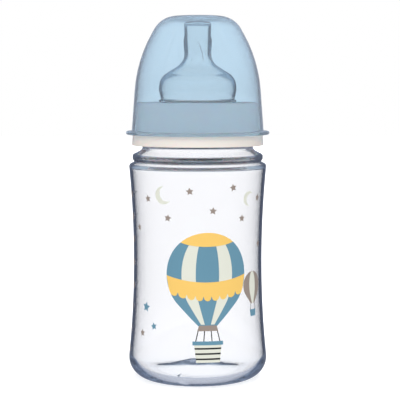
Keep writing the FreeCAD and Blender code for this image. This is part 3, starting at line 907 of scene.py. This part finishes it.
# Cap
# Injection-moulded in blue-tinted clear polypropylene: a thin domed shell over the teat, flat on top,
# with a round brim that stands on the ring's ledge and gives the fingers a hold to pull it off.
cap_wall = 1.05 * MM
cap_gap = 1.3 * MM
cap_headroom = 1.15 * MM
brim_reach = 2.75 * MM
brim_thickness = 1.6 * MM
brim_round = 0.7 * MM
knee_inset = 2.5 * MM
knee_drop = 20.9 * MM
knee_round = 64.0 * MM
crown_inset = 11.8 * MM
crown_round = 12.0 * MM
cap_bore = collar_radius + cap_gap
cap_radius = cap_bore + cap_wall
cap_top = tip_level + cap_headroom + cap_wall
brim_radius = cap_radius + brim_reach
brim_top = ledge_level + brim_thickness
knee_radius = cap_radius - knee_inset
knee_level = cap_top - knee_drop
crown_radius = knee_radius - crown_inset
cap_outline = [
    Corner(cap_bore, ledge_level),
    Corner(brim_radius, ledge_level, brim_round),
    Corner(brim_radius, brim_top, brim_round),
    Corner(cap_radius, brim_top, brim_round),
    Corner(knee_radius, knee_level, knee_round),
    Corner(crown_radius, cap_top, crown_round),
    Corner(0.0, cap_top),
    Corner(0.0, cap_top - cap_wall),
    Corner(crown_radius - cap_wall / 2, cap_top - cap_wall, crown_round - cap_wall),
    Corner(knee_radius - cap_wall, knee_level, knee_round - cap_wall),
]

# Clear polypropylene with a blue tint: see-through, a shade deeper along its edges, polished outside.
blue_plastic, tree, shader = new_material(
    "blue_polypropylene_moulded",
    "#DEEDF6",
    IOR=1.49,
    Transmission_Weight=0.92,
    Sheen_Weight=0.2,
    Sheen_Roughness=0.4,
)
add_relief(tree, shader, size=9 * MM, depth=0.004 * MM, least=0.01, most=0.04)
tint = add_node(tree, "ShaderNodeVolumeAbsorption", {"Color": srgb("#8FB4D2"), "Density": 7.5})
tree.links.new(tint.outputs[0], tree.nodes["Material Output"].inputs["Volume"])
cap = turned_piece("blue_cap", cap_outline, True, blue_plastic)
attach(cap, "cap")
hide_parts("cap")


# Studio
# A white sweep, the same from every side, with a soft lamp in front and one above. Clear plastic shows
# the white behind it, and light that has turned about inside its wall comes from the dim room beside
# the sweep and draws its edges.
floor_radius = 3.0
floor_sides = 64
floor_drop = 0.1 * MM
floor_rim = []
for i in range(floor_sides):
    turn = Matrix.Rotation(i * math.tau / floor_sides, 3, "Z")
    floor_rim.append(turn @ Vector((floor_radius, 0, -floor_drop)))
floor = new_piece("floor", floor_rim, (), [tuple(range(floor_sides))])

# Matt white paper: it keeps the bottle's soft shadow close by and is plain white further off. Rays that
# come off the plastic or through it pass the paper and see the sweep.
near_radius = 70 * MM
far_radius = 160 * MM
near_glow = 0.6
white_paper = bpy.data.materials.new("white_paper_sweep")
white_paper.use_nodes = True
tree = white_paper.node_tree
tree.nodes.remove(tree.nodes["Principled BSDF"])
rays = add_node(tree, "ShaderNodeLightPath").outputs
place = add_node(tree, "ShaderNodeTexCoord").outputs["Object"]
reach = add_node(tree, "ShaderNodeVectorMath", {0: place}, operation="LENGTH").outputs["Value"]
fading = {"Value": reach, "From Min": near_radius, "From Max": far_radius, "To Min": near_glow}
far = add_node(tree, "ShaderNodeMapRange", fading)
glow = add_node(tree, "ShaderNodeMath", {0: rays["Is Camera Ray"], 1: far}, operation="MULTIPLY")
matt = add_node(tree, "ShaderNodeBsdfDiffuse", {"Color": srgb("#BEBEBE")})
lift = add_node(tree, "ShaderNodeEmission", {"Strength": glow})
seen = add_node(tree, "ShaderNodeAddShader", {0: matt, 1: lift})
from_skin, from_inside = rays["Is Glossy Ray"], rays["Is Transmission Ray"]
passing = add_node(tree, "ShaderNodeMath", {0: from_skin, 1: from_inside}, operation="MAXIMUM")
unseen = add_node(tree, "ShaderNodeBsdfTransparent")
paper = add_node(tree, "ShaderNodeMixShader", {0: passing, 1: seen, 2: unseen})
tree.links.new(paper.outputs[0], tree.nodes["Material Output"].inputs["Surface"])
floor.data.materials.append(white_paper)
floor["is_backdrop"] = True

# What a ray out of the plastic sees, by its rise: the dim room, paler low down and high up. A ray that
# came straight through sees the white sweep instead, and any steep ray sees grey ground or ceiling.
# The colour sockets of a Mix node go by number, because sockets of other kinds share their names.
COLOUR_UNDER, COLOUR_OVER, COLOUR_OUT = 6, 7, 2
half_a_bounce = 0.5
white = srgb("#FFFFFF")
world = bpy.data.worlds.new("white_studio")
bpy.context.scene.world = world
world.use_nodes = True
tree = world.node_tree
rays = add_node(tree, "ShaderNodeLightPath").outputs
place = add_node(tree, "ShaderNodeTexCoord").outputs["Generated"]
rise = add_node(tree, "ShaderNodeSeparateXYZ", {0: place}).outputs["Z"]
low_down = add_node(tree, "ShaderNodeMapRange", {"Value": rise, "From Min": -0.2, "From Max": -0.42})
high_up = add_node(tree, "ShaderNodeMapRange", {"Value": rise, "From Min": 0.05, "From Max": 0.25})
turns = rays["Glossy Depth"]
straight = add_node(tree, "ShaderNodeMath", {0: turns, 1: half_a_bounce}, operation="LESS_THAN")
below = add_node(tree, "ShaderNodeMapRange", {"Value": rise, "From Min": -0.5, "From Max": -0.75})
above = add_node(tree, "ShaderNodeMapRange", {"Value": rise, "From Min": 0.2, "From Max": 0.45})
through = srgb("#0A1026")
for share, colour in (
    (low_down, srgb("#B4B9C6")),
    (high_up, srgb("#8494AA")),
    (straight, white),
    (below, srgb("#C0C5D0")),
    (above, srgb("#9FB0BE")),
):
    colours = {0: share, COLOUR_UNDER: through, COLOUR_OVER: colour}
    through = add_node(tree, "ShaderNodeMix", colours, data_type="RGBA").outputs[COLOUR_OUT]

# What every ray sees: an even fill, dimmer in a gloss, the view through plastic, and white for the
# camera. Lamps don't light what is behind plastic, so there the fill is bluer and stronger.
fill_light = srgb("#F2F2F2")
through_strength = 1.17
covered_strength = 2.05
scatters, passes = rays["Diffuse Depth"], rays["Transmission Depth"]
gathered = add_node(tree, "ShaderNodeMath", {0: scatters, 1: half_a_bounce}, operation="GREATER_THAN")
covered = add_node(tree, "ShaderNodeMath", {0: passes, 1: half_a_bounce}, operation="GREATER_THAN")
behind = add_node(tree, "ShaderNodeMath", {0: gathered, 1: covered}, operation="MULTIPLY")
seen = fill_light
for share, colour in (
    (rays["Is Glossy Ray"], srgb("#848EA4")),
    (rays["Is Transmission Ray"], through),
    (gathered, fill_light),
    (behind, srgb("#EAF2FF")),
    (rays["Is Camera Ray"], white),
):
    colours = {0: share, COLOUR_UNDER: seen, COLOUR_OVER: colour}
    seen = add_node(tree, "ShaderNodeMix", colours, data_type="RGBA").outputs[COLOUR_OUT]
tree.links.new(seen, tree.nodes["Background"].inputs["Color"])
bright_range = {"Value": rays["Is Transmission Ray"], "To Min": 1.0, "To Max": through_strength}
bright = add_node(tree, "ShaderNodeMapRange", bright_range)
strength_range = {"Value": behind, "To Min": bright, "To Max": covered_strength}
strength = add_node(tree, "ShaderNodeMapRange", strength_range)
tree.links.new(strength.outputs[0], tree.nodes["Background"].inputs["Strength"])


def soft_lamp(name, place, aim, size, power):
    """A square soft box at a place, turned to an aim and hidden from the camera, glosses and plastic."""
    data = bpy.data.lights.new(name, "AREA")
    data.size = size
    data.energy = power
    lamp = bpy.data.objects.new(name, data)
    bpy.context.scene.collection.objects.link(lamp)
    lamp.visible_camera = False
    lamp.visible_glossy = False
    lamp.visible_transmission = False
    lamp.location = place
    lamp.rotation_euler = (Vector(aim) - Vector(place)).to_track_quat("-Z", "Y").to_euler()


middle = (cad_low + cad_high) / 2
soft_lamp("front_soft_box", place=(-0.1, -1.1, 0.8), aim=middle, size=0.8, power=7.0)
soft_lamp("top_soft_box", place=(0.2, 0.2, 1.1), aim=middle, size=0.8, power=6.0)

camera_data = bpy.data.cameras.new("camera")
camera_data.lens = 124.2
camera_data.sensor_width = 36.0
camera = bpy.data.objects.new("camera", camera_data)
bpy.context.scene.collection.objects.link(camera)
camera_place = Vector((0.0011, -0.660, 0.1415))
camera_aim = Vector((0.0011, 0.0, 0.0855))
camera.location = camera_place
camera.rotation_euler = (camera_aim - camera_place).to_track_quat("-Z", "Y").to_euler()
bpy.context.scene.camera = camera
bpy.context.scene.view_settings.view_transform = "Standard"

# Light turns about many times in clear plastic, so it is followed further than Blender does by default.
bounces = 32
bpy.context.scene.cycles.max_bounces = bounces
bpy.context.scene.cycles.transmission_bounces = bounces
bpy.context.scene.cycles.glossy_bounces = bounces

low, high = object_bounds()
